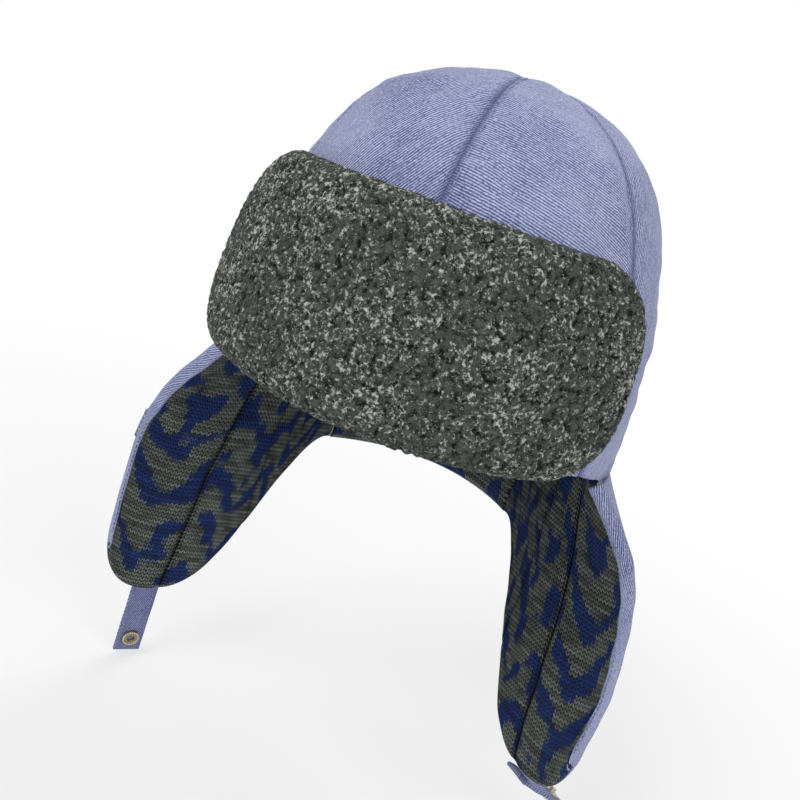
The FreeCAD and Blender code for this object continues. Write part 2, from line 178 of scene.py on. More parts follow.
def hem_depth(across):
    front, long, tip = EAR["front_depth"], EAR["long"], EAR["tip"]
    rounded = front + (long - front) * np.sqrt(np.clip(1.0 - (1.0 - across / tip) ** 2, 0.0, 1.0))
    behind = np.clip((across - tip) / (1.0 - tip), 0.0, 1.0) ** EAR["power"]
    rising = EAR["rear_depth"] + (long - EAR["rear_depth"]) * (0.5 + 0.5 * np.cos(math.pi * behind))
    return np.where(across < tip, rounded, rising)


def ear_skin(across, down, side):
    """Outer face of an ear flap: across 0 is its front edge, down 0 the rim and 1 the hem."""
    angle = np.radians(EAR["front"] + (EAR["rear"] - EAR["front"]) * across)
    top_x = sizes().crown_half_width * 1000.0 * np.sin(angle)
    top_y = -sizes().crown_half_length * 1000.0 * np.cos(angle)
    front, rear = np.array(EAR["front_foot"]), np.array(EAR["rear_foot"])
    run = rear - front
    bow = EAR["bulge"] * 4.0 * across * (1.0 - across) / np.linalg.norm(run)
    foot_x = front[0] + run[0] * across + bow * run[1]
    foot_y = front[1] + run[1] * across - bow * run[0]
    depth = hem_depth(across) * down
    out = flare(depth)
    return np.stack([side * (top_x + (foot_x - top_x) * out), top_y + (foot_y - top_y) * out, -depth], -1)


def neck_skin(across, down):
    """Outer face of the neck flap, from one ear flap round the nape to the other."""
    turn = 2.0 * across - 1.0
    depth = (NECK_DEPTH + (EAR["rear_depth"] - NECK_DEPTH) * turn ** 2) * down
    edge = math.radians(EAR["rear"])
    half_width = sizes().crown_half_width * 1000.0
    half_length = sizes().crown_half_length * 1000.0
    angle = math.pi - turn * (math.pi - edge)
    tuck_x = EAR["rear_foot"][0] - half_width * math.sin(edge)
    tuck_y = EAR["rear_foot"][1] + half_length * math.cos(edge)
    out = flare(depth)
    x = half_width * np.sin(angle) + tuck_x * turn * out
    y = -half_length * np.cos(angle) + tuck_y * turn ** 2 * out
    return np.stack([x, y, -depth], -1)


def flap_skin(run, z, standoff):
    """Face of the front flap at a distance along the brow and a height."""
    half_width = sizes().crown_half_width * 1000.0
    half_length = sizes().crown_half_length * 1000.0
    angle = run / (0.5 * (half_width + half_length))
    ring = (1.0 - (np.maximum(z, 0.0) / (sizes().crown_height * 1000.0)) ** FULLNESS) ** (1.0 / FULLNESS)
    x = (half_width * ring + standoff) * np.sin(angle)
    return np.stack([x, -(half_length * ring + standoff) * np.cos(angle), z], -1)


def normals(points, towards):
    """Unit normals of a grid of points, on the side of a given point."""
    normal = np.cross(np.gradient(points, axis=0), np.gradient(points, axis=1))
    normal /= np.maximum(np.linalg.norm(normal, axis=-1, keepdims=True), 1e-9)
    flip = np.sum(normal * (np.asarray(towards) - points), axis=-1) < 0
    normal[flip] *= -1.0
    return normal


def distances(points, axis):
    """Distance walked along one axis of a grid of points."""
    steps = np.linalg.norm(np.diff(points, axis=axis), axis=-1)
    start = np.zeros_like(np.take(steps, [0], axis=axis))
    return np.concatenate([start, np.cumsum(steps, axis=axis)], axis=axis)


def round_over(distance, radius, rise):
    """How far a padded face drops towards an edge: 0 inside, rise at the edge."""
    near = np.clip(1.0 - distance / radius, 0.0, 1.0)
    return rise * (1.0 - np.sqrt(np.maximum(1.0 - near ** 2, 0.0)))


# ---------------------------------------------------------------- pieces of cloth

def select_only(piece):
    bpy.ops.object.select_all(action="DESELECT")
    piece.select_set(True)
    bpy.context.view_layer.objects.active = piece


def finish_piece(piece, material, body, *nodes):
    """Common end of every piece: smooth shading, finish, body and the plain solids it stands for."""
    select_only(piece)
    bpy.ops.object.mode_set(mode="EDIT")
    bpy.ops.mesh.select_all(action="SELECT")
    bpy.ops.mesh.normals_make_consistent(inside=False)
    bpy.ops.object.mode_set(mode="OBJECT")
    bpy.ops.object.shade_smooth()
    piece.data.materials.clear()
    piece.data.materials.append(material)
    if nodes:
        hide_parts(*nodes)
    if body:
        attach(piece, body)
    return piece


def cloth(name, outer, inner, uv, marks=None):
    """Closed cloth between two matching grids of points, with its weave's coordinates and named marks."""
    columns, rows = outer.shape[:2]
    bpy.ops.object.select_all(action="DESELECT")
    bpy.ops.mesh.primitive_grid_add(x_subdivisions=columns - 1, y_subdivisions=rows - 1, size=1.0)
    piece = bpy.context.active_object
    piece.name = name
    piece.data.name = name
    count = columns * rows
    flat = np.zeros(count * 3)
    piece.data.vertices.foreach_get("co", flat)
    flat = flat.reshape(-1, 3)
    column = np.rint((flat[:, 0] + 0.5) * (columns - 1)).astype(int)
    row = np.rint((flat[:, 1] + 0.5) * (rows - 1)).astype(int)
    wall = piece.modifiers.new("wall", "SOLIDIFY")
    wall.thickness = 0.01
    bpy.ops.object.modifier_apply(modifier="wall")
    both = np.concatenate([outer[column, row], inner[column, row]]) / 1000.0
    piece.data.vertices.foreach_set("co", both.ravel())
    corner = np.zeros(len(piece.data.loops), int)
    piece.data.loops.foreach_get("vertex_index", corner)
    table = uv[column, row]
    piece.data.uv_layers[0].name = "weave"
    piece.data.uv_layers["weave"].data.foreach_set("uv", (table[corner % count] / 100.0).ravel())
    for mark, values in (marks or {}).items():
        layer = piece.data.attributes.new(mark, "FLOAT", "POINT")
        layer.data.foreach_set("value", np.tile(values[column, row], 2).astype(np.float32))
    piece.data.update()
    return piece


def grid(columns, rows):
    return np.meshgrid(np.linspace(0.0, 1.0, columns), np.linspace(0.0, 1.0, rows), indexing="ij")


# ---------------------------------------------------------------- finishes

class Wire:
    """One value in a finish. Arithmetic on wires adds maths nodes."""

    def __init__(self, finish, socket):
        self.finish = finish
        self.socket = socket

    def maths(self, operation, *others):
        return self.finish.add("ShaderNodeMath", {"operation": operation}, [self, *others])

    def __add__(self, other):
        return self.maths("ADD", other)

    __radd__ = __add__

    def __sub__(self, other):
        return self.maths("SUBTRACT", other)

    def __rsub__(self, other):
        return self.finish.add("ShaderNodeMath", {"operation": "SUBTRACT"}, [other, self])

    def __mul__(self, other):
        return self.maths("MULTIPLY", other)

    __rmul__ = __mul__

    def __truediv__(self, other):
        return self.maths("DIVIDE", other)

    def __pow__(self, other):
        return self.maths("POWER", other)

    def floor(self):
        return self.maths("FLOOR")

    def fraction(self):
        return self.maths("FRACT")

    def size(self):
        return self.maths("ABSOLUTE")

    def clip(self):
        return (self * 1.0).maths("MINIMUM", 1.0).maths("MAXIMUM", 0.0)

    def above(self, edge, soft=0.05):
        """0 below an edge and 1 above it, with a soft step."""
        return ((self - (edge - soft)) / (2.0 * soft)).clip()


class Finish:
    """A procedural material, built node by node."""

    def __init__(self, name, roughness=0.9, sheen=0.0, metallic=0.0, coat=0.0):
        self.material = bpy.data.materials.new(name)
        self.material.use_nodes = True
        self.nodes = self.material.node_tree.nodes
        self.links = self.material.node_tree.links
        self.shader = self.nodes["Principled BSDF"]
        self.shader.inputs["Roughness"].default_value = roughness
        self.shader.inputs["Metallic"].default_value = metallic
        self.shader.inputs["Sheen Weight"].default_value = sheen
        self.shader.inputs["Sheen Roughness"].default_value = 0.6
        self.shader.inputs["Coat Weight"].default_value = coat
        if roughness > 0.8:
            self.shader.inputs["Specular IOR Level"].default_value = 0.2

    def add(self, kind, settings=None, values=None, output=0):
        node = self.nodes.new(kind)
        for key, value in (settings or {}).items():
            setattr(node, key, value)
        pairs = values.items() if isinstance(values, dict) else enumerate(values or [])
        for key, value in pairs:
            if isinstance(value, Wire):
                self.links.new(value.socket, node.inputs[key])
            else:
                node.inputs[key].default_value = value
        return Wire(self, node.outputs[output])

    def place(self):
        return self.add("ShaderNodeTexCoord", output="Object")

    def weave(self):
        """Distance along and down the cloth, in millimetres."""
        layer = self.add("ShaderNodeUVMap", {"uv_map": "weave"})
        split = self.add("ShaderNodeSeparateXYZ", None, [layer])
        down = Wire(self, split.socket.node.outputs[1])
        return split * 100.0, down * 100.0

    def mark(self, name):
        return self.add("ShaderNodeAttribute", {"attribute_name": name}, output="Fac")

    def join(self, x, y, z=0.0):
        return self.add("ShaderNodeCombineXYZ", None, [x, y, z])

    def noise(self, vector, scale, detail=2.0, rough=0.5):
        return self.add("ShaderNodeTexNoise", None,
                        {"Vector": vector, "Scale": scale, "Detail": detail, "Roughness": rough})

    def mix(self, share, first, second):
        """Blend of two colours."""
        def tint(value):
            return value if isinstance(value, Wire) else (*value, 1.0)
        return self.add("ShaderNodeMix", {"data_type": "RGBA"}, {0: share, 6: tint(first), 7: tint(second)},
                        output=2)

    def bump(self, height, distance, strength=1.0):
        normal = self.add("ShaderNodeBump", None,
                          {"Strength": strength, "Distance": distance, "Height": height})
        self.links.new(normal.socket, self.shader.inputs["Normal"])

    def feed(self, socket, wire):
        self.links.new(wire.socket, self.shader.inputs[socket])


def chambray(name, lean=(1.0, 0.42)):
    """Blue twill with pale broken flecks along its slanting lines, deeper along the seams."""
    tints = colours()
    finish = Finish(name, roughness=0.9, sheen=0.1)
    along, down = finish.weave()
    place = finish.place()
    across_line = along * lean[0] + down * lean[1]
    with_line = down * lean[0] - along * lean[1]
    wander = finish.noise(place, 170.0, 2.0)
    line = (across_line / (sizes().twill * 1000.0) + wander * 0.6).fraction()
    ridge = 1.0 - ((line - 0.5) * 2.0).size()
    thread = finish.noise(finish.join(across_line * 1.9, with_line * 0.75), 1.0, 2.0, 0.7)
    slub = finish.noise(finish.join(across_line * 0.8, with_line * 0.09, 7.0), 1.0, 2.0, 0.5)
    cloud = finish.noise(place, 26.0, 3.0)
    uneven = (thread - 0.5) * 4.6 + (slub - 0.5) * 1.6
    fleck = ((ridge - 0.5) * 2.2 + uneven + (cloud - 0.5) * 1.0 + 0.30).clip()
    worn = tuple(0.8 * deep + 0.2 * pale for deep, pale in zip(tints.chambray, tints.fleck))
    ground = finish.mix(((cloud - 0.5) * 1.6 + 0.5).clip(), tints.chambray, worn)
    tone = finish.mix(fleck * 0.9, ground, tints.fleck)
    near = (1.0 - finish.mark("seam") / 3.4).clip()
    finish.feed("Base Color", finish.mix(near * 0.72, tone, tints.seam))
    finish.feed("Roughness", 0.84 + fleck * 0.1)
    finish.bump(ridge * 0.35 + thread * 0.6 + slub * 0.3, 0.0005, 0.6)
    return finish.material


def knit(name, seed):
    """Chunky knit: rows of V stitches in heather grey with stepped royal blue chevrons, with painted shade
    in the gaps between the loops and along the creases of the seams.
    """
    tints = colours()
    finish = Finish(name, roughness=0.95)
    along, down = finish.weave()
    pitch = sizes().stitch * 1000.0
    tall = 0.8 * pitch
    wale = along / pitch
    leg = ((wale.fraction() - 0.5) * 2.0).size()
    course = (down + leg * 0.55 * pitch) / tall
    strand = ((course.fraction() - 0.5) * 2.0).size()
    loop = (1.0 - strand ** 2.6) * (1.0 - ((leg - 0.5) * 2.0).size() ** 5.0)
    column, row = wale.floor() * pitch, course.floor() * tall
    cell = finish.join(column * 0.012, row * 0.012, seed)
    sweep = finish.noise(cell, 2.2, 2.0, 0.5)
    blob = finish.noise(cell, 5.0, 1.0, 0.4)
    peak = (((column / 46.0).fraction() - 0.5) * 2.0).size() * 26.0
    band = (((row + peak + sweep * 40.0) / 34.0 + 0.13 * seed).fraction() - 0.5).size() * 2.0
    figure = (band + (blob - 0.5) * 2.2).above(0.60, 0.09)
    fibre = finish.noise(finish.join(along, down, seed), 2.3, 3.0, 0.8)
    yarn = finish.noise(finish.join(column * 0.05, row * 0.36, seed + 3.0), 1.0, 2.0, 0.6)
    heather = ((yarn - 0.5) * 3.0 + (fibre - 0.5) * 1.6 + 0.55).clip()
    grey = finish.mix(heather, tints.knit_shade, tints.knit_grey)
    royal = ((yarn - 0.5) * 2.6 + (fibre - 0.5) * 1.4 + 0.5).clip()
    blue = finish.mix(royal, tints.knit_navy, tints.knit_blue)
    tone = finish.mix(figure, grey, blue)
    # Painted shade: the colour darkens to near black in the gaps between the loops and along the creased
    # seams.
    crease = (1.0 - finish.mark("seam") / 3.5).clip()
    depth = (1.0 - loop).clip() * 0.95 + crease * 0.6
    finish.feed("Base Color", finish.mix(depth.clip(), tone, (0.006, 0.008, 0.011)))
    finish.bump(loop + fibre * 0.2, 0.0022, 1.0)
    return finish.material


def fleece(name):
    """Curly fleece: grey curls over a dark ground, with fine cream specks on some of them. The dark ground
    in the hollows between curls is partly the wool's own tone, partly painted shade.
    """
    tints = colours()
    finish = Finish(name, roughness=0.97)
    place = finish.place()
    curl = finish.mark("curl")
    tip = finish.mark("tip")
    fibre = finish.noise(place, 1700.0, 3.0, 0.75)
    bend = finish.noise(place, 520.0, 2.0, 0.6)
    patch = finish.noise(place, 38.0, 2.0, 0.5)
    speck = finish.noise(place, 700.0, 2.0, 0.6)
    # Darker in the hollows between curls and lighter on their tops: partly the wool's own tone, partly
    # painted shade.
    wool = (curl * 1.0 + (fibre - 0.5) * 2.2 + (bend - 0.5) * 2.4 - 0.22).clip()
    ground = finish.mix(wool, tints.fleece_dark, tints.fleece_mid)
    pale = ((speck - 0.55) * 5.5 + (tip - 0.5) * 1.1 + (patch - 0.5) * 1.4 + (fibre - 0.5) * 3.0).clip()
    finish.feed("Base Color", finish.mix(pale * (curl * 0.8 + 0.3).clip(), ground, tints.fleece_pale))
    finish.bump(fibre * 0.7 + bend + speck * 0.6, 0.0013, 0.9)
    return finish.material


def wadding(name):
    """Soft white wadding with loose fibres."""
    finish = Finish(name, roughness=0.95, sheen=0.5)
    place = finish.place()
    fibre = finish.noise(place, 700.0, 4.0, 0.7)
    finish.feed("Base Color", finish.mix(fibre, (0.56, 0.56, 0.54), (0.82, 0.82, 0.80)))
    finish.bump(fibre, 0.001, 0.6)
    return finish.material


def felt(name):
    finish = Finish(name, roughness=0.95, sheen=0.3)
    fibre = finish.noise(finish.place(), 1100.0, 3.0, 0.7)
    finish.feed("Base Color", finish.mix(fibre, (0.45, 0.45, 0.43), (0.66, 0.66, 0.63)))
    finish.bump(fibre, 0.0004, 0.5)
    return finish.material


def thread(name):
    """Blue sewing thread with a twist along each stitch."""
    finish = Finish(name, roughness=0.7, sheen=0.2)
    twist = finish.noise(finish.place(), 2600.0, 1.0, 0.5)
    tone = finish.mix(twist, (0.16, 0.18, 0.36), (0.38, 0.41, 0.60))
    finish.feed("Base Color", tone)
    finish.bump(twist, 0.0002, 0.4)
    return finish.material


def metal(name, tint, roughness=0.3):
    """Softly worn metal, darker in random smudges."""
    finish = Finish(name, roughness=roughness, metallic=1.0)
    place = finish.place()
    smudge = finish.noise(place, 420.0, 3.0, 0.6)
    scratch = finish.noise(place, 3000.0, 2.0, 0.6)
    finish.feed("Base Color", finish.mix(smudge, tuple(0.55 * c for c in tint), tint))
    finish.feed("Roughness", roughness - 0.08 + smudge * 0.25)
    finish.bump(scratch, 0.00005, 0.3)
    return finish.material


def pearl(name):
    """Glossy cap with a faint pearl cloud."""
    tint = tuple(colours().pearl)
    finish = Finish(name, roughness=0.22, coat=0.6)
    cloud = finish.noise(finish.place(), 260.0, 3.0, 0.55)
    finish.feed("Base Color", finish.mix(cloud, tuple(0.82 * c for c in tint), tint))
    finish.feed("Roughness", 0.16 + cloud * 0.14)
    finish.bump(cloud, 0.00008, 0.25)
    return finish.material


# ---------------------------------------------------------------- pieces

def crown_lift(base, up, edge, climb):
    """How far the crown's face stands over the plain dome, a distance from a seam and up along it."""
    dip = sizes().seam_dip * 1000.0
    puff = -dip * np.exp(-(edge / 5.0) ** 1.2)
    pucker = 0.45 * np.exp(-edge / 7.0) * np.sin(climb / 2.1 + 2.0 * ripple(base, 30.0, 5))
    pucker = pucker * np.clip(edge / 1.5, 0.0, 1.0)
    soft = 1.2 * ripple(base, 58.0, 11) + 0.45 * ripple(base, 19.0, 12) * np.clip(edge / 8.0, 0.0, 1.0)
    fade = np.clip((1.0 - up) / 0.1, 0.0, 1.0)
    lift = puff * np.clip(fade + 0.4, 0.0, 1.0) + (pucker + soft) * fade
    return np.maximum(lift, -1.85)


def crown_panel(place, name, start, stop, material):
    """One panel of the crown: padded between its seams and puckered beside them."""
    side = SIDES[name]
    across, up = grid(61, 121)
    angle = np.radians(start + (stop - start) * across) * side
    base = crown_skin(angle, up)
    out = normals(base, (0.0, 0.0, 40.0)) * -1.0
    width = distances(base, 0)
    edge = np.minimum(width, width[-1:] - width)
    climb = distances(base, 1)
    outer = base + out * crown_lift(base, up, edge, climb)[..., None]
    inner = outer - out * 1000.0 * sizes().wall * 0.165
    uv = np.stack([width - width[-1:] * 0.5 + start, climb], -1)
    piece = cloth("crown_cloth_%s_%s" % (place, name), outer, inner, uv, {"seam": edge})
    return finish_piece(piece, material, "crown", "crown_panel_%s_%s" % (place, name))


def stitch_row(name, line, out, reach, radius, pitch):
    """Short raised stitches along a line of points; reach is the share of the pitch that shows."""
    walked = distances(line[:, None], 0)[:, 0]
    total = walked[-1]
    count = int(total / pitch)
    verts, faces = [], []
    for index in range(count):
        middle = (index + 0.5) * pitch
        spots = np.linspace(middle - 0.5 * reach * pitch, middle + 0.5 * reach * pitch, 4)
        centre = np.stack([np.interp(spots, walked, line[:, k]) for k in range(3)], -1)
        up = np.stack([np.interp(spots, walked, out[:, k]) for k in range(3)], -1)
        ahead = centre[-1] - centre[0]
        ahead /= np.linalg.norm(ahead)
        first = len(verts)
        for spot, share in enumerate((0.35, 1.0, 1.0, 0.35)):
            sideways = np.cross(ahead, up[spot])
            rise = radius * (0.9 if 0 < spot < 3 else -0.6)
            for turn in range(6):
                way = turn * math.pi / 3.0
                ring = sideways * math.cos(way) + up[spot] * math.sin(way)
                verts.append(centre[spot] + up[spot] * rise + ring * radius * share)
        for spot in range(3):
            for turn in range(6):
                low = first + spot * 6
                faces.append((low + turn, low + (turn + 1) % 6, low + 6 + (turn + 1) % 6, low + 6 + turn))
        faces.append(tuple(first + turn for turn in reversed(range(6))))
        faces.append(tuple(first + 18 + turn for turn in range(6)))
    mesh = bpy.data.meshes.new(name)
    mesh.from_pydata([tuple(v / 1000.0) for v in verts], [], faces)
    piece = bpy.data.objects.new(name, mesh)
    bpy.context.collection.objects.link(piece)
    return piece


def join_pieces(name, pieces):
    select_only(pieces[0])
    for piece in pieces:
        piece.select_set(True)
    bpy.ops.object.join()
    joined = bpy.context.active_object
    joined.name = name
    joined.data.name = name
    return joined


class HAT_OT_crown(bpy.types.Operator):
    """Six padded chambray panels of the crown"""
    bl_idname = "hat.crown"
    bl_label = "Crown panels"

    def execute(self, context):
        leans = {"front_right": (1.0, 0.42), "front_left": (0.25, 1.0)}
        for place, start, stop in (("front", 0.0, 60.0), ("side", 60.0, 120.0), ("back", 120.0, 180.0)):
            for name in SIDES:
                label = "%s_%s" % (place, name)
                material = chambray("chambray_" + label, leans.get(label, (1.0, -0.42)))
                crown_panel(place, name, start, stop, material)
        return {"FINISHED"}


class HAT_OT_crown_stitching(bpy.types.Operator):
    """Rows of topstitching beside the crown's seams"""
    bl_idname = "hat.crown_stitching"
    bl_label = "Crown topstitching"

    def execute(self, context):
        rows = []
        for seam in range(0, 360, 60):
            for offset in (-2.4, 2.4):
                up = np.linspace(0.02, 0.93, 90)
                radius = 1000.0 * sizes().crown_half_width * (1.0 - up ** 5)
                angle = math.radians(seam) + offset / np.maximum(radius, 12.0)
                line = crown_skin(angle, up)
                beside = crown_skin(angle + 0.01, up) - line
                out = np.cross(np.gradient(line, axis=0), beside)
                out /= np.linalg.norm(out, axis=-1, keepdims=True)
                out *= np.sign(np.sum(out * line, axis=-1, keepdims=True))
                climb = distances(line[:, None], 0)[:, 0]
                lift = crown_lift(line, up, np.full(90, abs(offset)), climb)
                rows.append(stitch_row("stitches", line + out * lift[:, None], out, 0.66, 0.26, 3.1))
        piece = join_pieces("crown_topstitching", rows)
        finish_piece(piece, thread("sewing_thread"), "crown")
        return {"FINISHED"}


class HAT_OT_crown_inside(bpy.types.Operator):
    """Wadding and knit lining of the crown"""
    bl_idname = "hat.crown_inside"
    bl_label = "Crown wadding and lining"

    def execute(self, context):
        lining = knit("crown_knit", 2.0)
        filling = wadding("wadding")
        for name, side in SIDES.items():
            across, up = grid(73, 73)
            angle = math.pi * across * side
            fluff = 0.12 * ripple(crown_skin(angle, up), 5.0, 31)[..., None]
            outer = crown_skin(angle, up, 3.3)
            out = normals(outer, (0.0, 0.0, 40.0)) * -1.0
            inner = crown_skin(angle, up, 4.7)
            uv = np.stack([distances(outer, 0), distances(outer, 1)], -1)
            piece = cloth("crown_wadding_" + name, outer + out * fluff, inner - out * fluff, uv)
            finish_piece(piece, filling, "crown", "crown_batting_" + name)
            across, up = grid(121, 101)
            angle = math.pi * across * side
            outer = crown_skin(angle, up, 4.85)
            out = normals(outer, (0.0, 0.0, 40.0)) * -1.0
            width, climb = distances(outer, 0), distances(outer, 1)
            held = np.clip((1.0 - up) * 8.0, 0.0, 1.0) * np.clip(up * 8.0, 0.0, 1.0)
            slack = 0.35 * ripple(outer, 34.0, 33) * held
            inner = crown_skin(angle, up, 7.3) + out * slack[..., None]
            edge = np.minimum(width, width[-1:] - width)
            # The seam mark tells the knit finish where to paint shade along the lining's centre seam.
            piece = cloth("crown_knit_" + name, outer, inner, np.stack([width, climb], -1), {"seam": edge})
            finish_piece(piece, lining, "crown", "crown_lining_" + name)
        return {"FINISHED"}


# ---------------------------------------------------------------- front flap

def flap_grid(columns, rows):
    """Distance along the brow and height at each point of the flap's rounded outline."""
    mean = 500.0 * (sizes().crown_half_width + sizes().crown_half_length)
    reach = math.radians(FLAP["half_angle"]) * mean
    corner, bottom = FLAP["corner"], FLAP["bottom"]
    top = bottom + FLAP["height"]
    across, up = grid(columns, rows)
    bend = 0.5 * math.pi * corner
    flat = reach - corner
    walk = (2.0 * across - 1.0) * (flat + bend)
    beyond = np.clip((np.abs(walk) - flat) / corner, 0.0, 0.5 * math.pi)
    run = np.sign(walk) * np.where(np.abs(walk) < flat, np.abs(walk), flat + corner * np.sin(beyond))
    lift = corner * (1.0 - np.cos(beyond))
    z = bottom + lift + (top - bottom - 2.0 * lift) * up
    rim = np.minimum(np.minimum(z - bottom, top - z), reach - np.abs(run))
    inset_x = np.maximum(np.abs(run) - flat, 0.0)
    inset_z = np.maximum(np.abs(z - 0.5 * (top + bottom)) - (0.5 * (top - bottom) - corner), 0.0)
    rounded = corner - np.hypot(inset_x, inset_z)
    rim = np.where((inset_x > 0.0) & (inset_z > 0.0), rounded, rim)
    return run, z, np.maximum(rim, 0.0)


def curls(run, z, pitch, seed):
    """Distance to the middle of the nearest curl, and that curl's own lightness."""
    random = np.random.default_rng(seed)
    low_x, low_z = run.min() - 2.0 * pitch, z.min() - 2.0 * pitch
    columns = int((run.max() - low_x) / pitch) + 4
    rows = int((z.max() - low_z) / pitch) + 4
    jitter = random.uniform(0.08, 0.92, (columns, rows, 2))
    tips = random.uniform(0.0, 1.0, (columns, rows))
    fx, fz = (run - low_x) / pitch, (z - low_z) / pitch
    cx, cz = fx.astype(int), fz.astype(int)
    nearest = np.full(run.shape, 9.0)
    tip = np.zeros(run.shape)
    for dx in (-1, 0, 1):
        for dz in (-1, 0, 1):
            ix = np.clip(cx + dx, 0, columns - 1)
            iz = np.clip(cz + dz, 0, rows - 1)
            away = np.hypot(ix + jitter[ix, iz, 0] - fx, iz + jitter[ix, iz, 1] - fz)
            closer = away < nearest
            nearest = np.where(closer, away, nearest)
            tip = np.where(closer, tips[ix, iz], tip)
    return nearest, tip


class HAT_OT_front_flap(bpy.types.Operator):
    """Curly fleece front flap with its interlining and chambray backing"""
    bl_idname = "hat.front_flap"
    bl_label = "Front flap"

    def execute(self, context):
        pile = sizes().fleece_pile * 1000.0
        near = FLAP["standoff"]
        run, z, rim = flap_grid(331, 125)
        base = flap_skin(run, z, near + 2.4)
        out = normals(flap_skin(run, z, near + 20.0), (0.0, 0.0, 40.0)) * -1.0
        size = sizes().curl * 1000.0
        away, tip = curls(run, z, size, 41)
        fine, fine_tip = curls(run, z, size * 0.52, 42)
        bead = np.sqrt(np.clip(1.0 - (away / 0.72) ** 2, 0.0, 1.0))
        small = np.sqrt(np.clip(1.0 - (fine / 0.75) ** 2, 0.0, 1.0))
        pad = 1.0 - round_over(rim, 7.0, 1.0)
        soft = 0.8 * ripple(base, 46.0, 43)
        height = pile * pad * 0.82 + pad * (1.25 * bead + 0.55 * small + soft) + 0.12
        spill = 2.2 * round_over(rim, 5.0, 1.0) * (bead - 0.3)
        outward = base - np.mean(base, axis=(0, 1))
        outward -= out * np.sum(outward * out, axis=-1, keepdims=True)
        outward /= np.maximum(np.linalg.norm(outward, axis=-1, keepdims=True), 1.0)
        front = base + out * height[..., None] + outward * spill[..., None]
        back = base - out * 0.1
        # The curl mark is each curl's height; the fleece finish darkens the hollows with it, partly as
        # painted shade.
        marks = {
            "curl": np.clip(0.6 * bead + 0.45 * small, 0.0, 1.0),
            "tip": np.clip(0.65 * tip + 0.35 * fine_tip, 0.0, 1.0),
        }
        piece = cloth("fleece_face", front, back, np.stack([run, z], -1), marks)
        finish_piece(piece, fleece("curly_fleece"), "front_flap", "front_flap_fleece")

        run, z, rim = flap_grid(121, 45)
        away_from_head = normals(flap_skin(run, z, 20.0), (0.0, 0.0, 40.0)) * -1.0
        inset = flap_skin(run * 0.985, 51.0 + (z - 51.0) * 0.97, near + 1.3)
        piece = cloth("flap_interlining", inset + away_from_head * 0.9, inset, np.stack([run, z], -1))
        finish_piece(piece, felt("flap_felt"), "front_flap", "front_flap_interlining")

        slack = 0.3 * ripple(flap_skin(run, z, near), 30.0, 44) * np.clip(rim / 6.0, 0.0, 1.0)
        drop = 1.1 * round_over(rim, 3.0, 1.0)
        inner = flap_skin(run, z, near) + away_from_head * (slack + drop + 0.35)[..., None]
        outer = flap_skin(run, z, near + 1.25)
        outer = np.where((drop > 1.0)[..., None], inner + away_from_head * 0.15, outer)
        piece = cloth("flap_backing", outer, inner, np.stack([run, z], -1), {"seam": rim})
        finish_piece(piece, chambray("chambray_backing"), "front_flap", "front_flap_backing")
        return {"FINISHED"}


# ---------------------------------------------------------------- ear flaps

def hem_distance(points):
    """Distance from each point of a flap to its hem, down its own column."""
    walked = distances(points, 1)
    return walked[:, -1:] - walked


def ear_wall(across, down, side):
    """Outer face of an ear flap with its padding: softly quilted and a little uneven."""
    base = ear_skin(across, down, side)
    inward = normals(base, (side * -20.0, 10.0, -60.0))
    below = distances(base, 1)
    ease = np.clip(below / 12.0, 0.0, 1.0)
    soft = (0.8 * ripple(base, 58.0, 51 if side > 0 else 52) + 0.3 * ripple(base, 21.0, 53)) * ease
    return base - inward * soft[..., None], inward


def ear_outer(name, side):
    """Chambray face of the ear flap, rolled round its front edge to the inside."""
    wall = sizes().wall * 1000.0
    across, down = grid(71, 111)
    across = 1.0 - np.cos(0.5 * math.pi * across)
    base, inward = ear_wall(across, down, side)
    drop = round_over(hem_distance(base), 7.0, 0.5 * wall)
    face = base + inward * drop[..., None]
    edge, edge_in = face[0], inward[0]
    along = face[3] - face[0]
    along /= np.linalg.norm(along, axis=-1, keepdims=True)
    shrink = np.clip(1.0 - drop[0] / (0.5 * wall), 0.02, 1.0)[:, None]
    rolled = []
    for reach in np.linspace(5.5, 0.6, 6):
        rolled.append(edge + edge_in * wall * shrink * 0.98 + along * reach)
    for turn in np.linspace(math.pi, 0.0, 13)[:-1]:
        centre = edge + edge_in * 0.5 * wall * shrink
        radius = 0.5 * wall * shrink
        rolled.append(centre - edge_in * radius * math.cos(turn) - along * radius * math.sin(turn))
    skin = np.concatenate([np.array(rolled), face])
    under = normals(skin, (0.0, 0.0, 0.0))
    guide = np.concatenate([np.array([edge_in * -1.0] * 6), np.zeros((12,) + edge.shape), inward])
    for row in range(6, 18):
        guide[row] = edge + edge_in * 0.5 * wall * shrink - skin[row]
    wrong = np.sum(under * guide, axis=-1) < 0
    under[wrong] *= -1.0
    inner = skin + under * np.minimum(1.1, 0.35 * wall * np.ones_like(under[..., :1]))
    width = distances(skin, 0)
    uv = np.stack([width, distances(skin, 1)], -1)
    seam = np.minimum(width, 40.0) + 4.0
    return cloth("ear_cloth_" + name, skin, inner, uv, {"seam": seam})


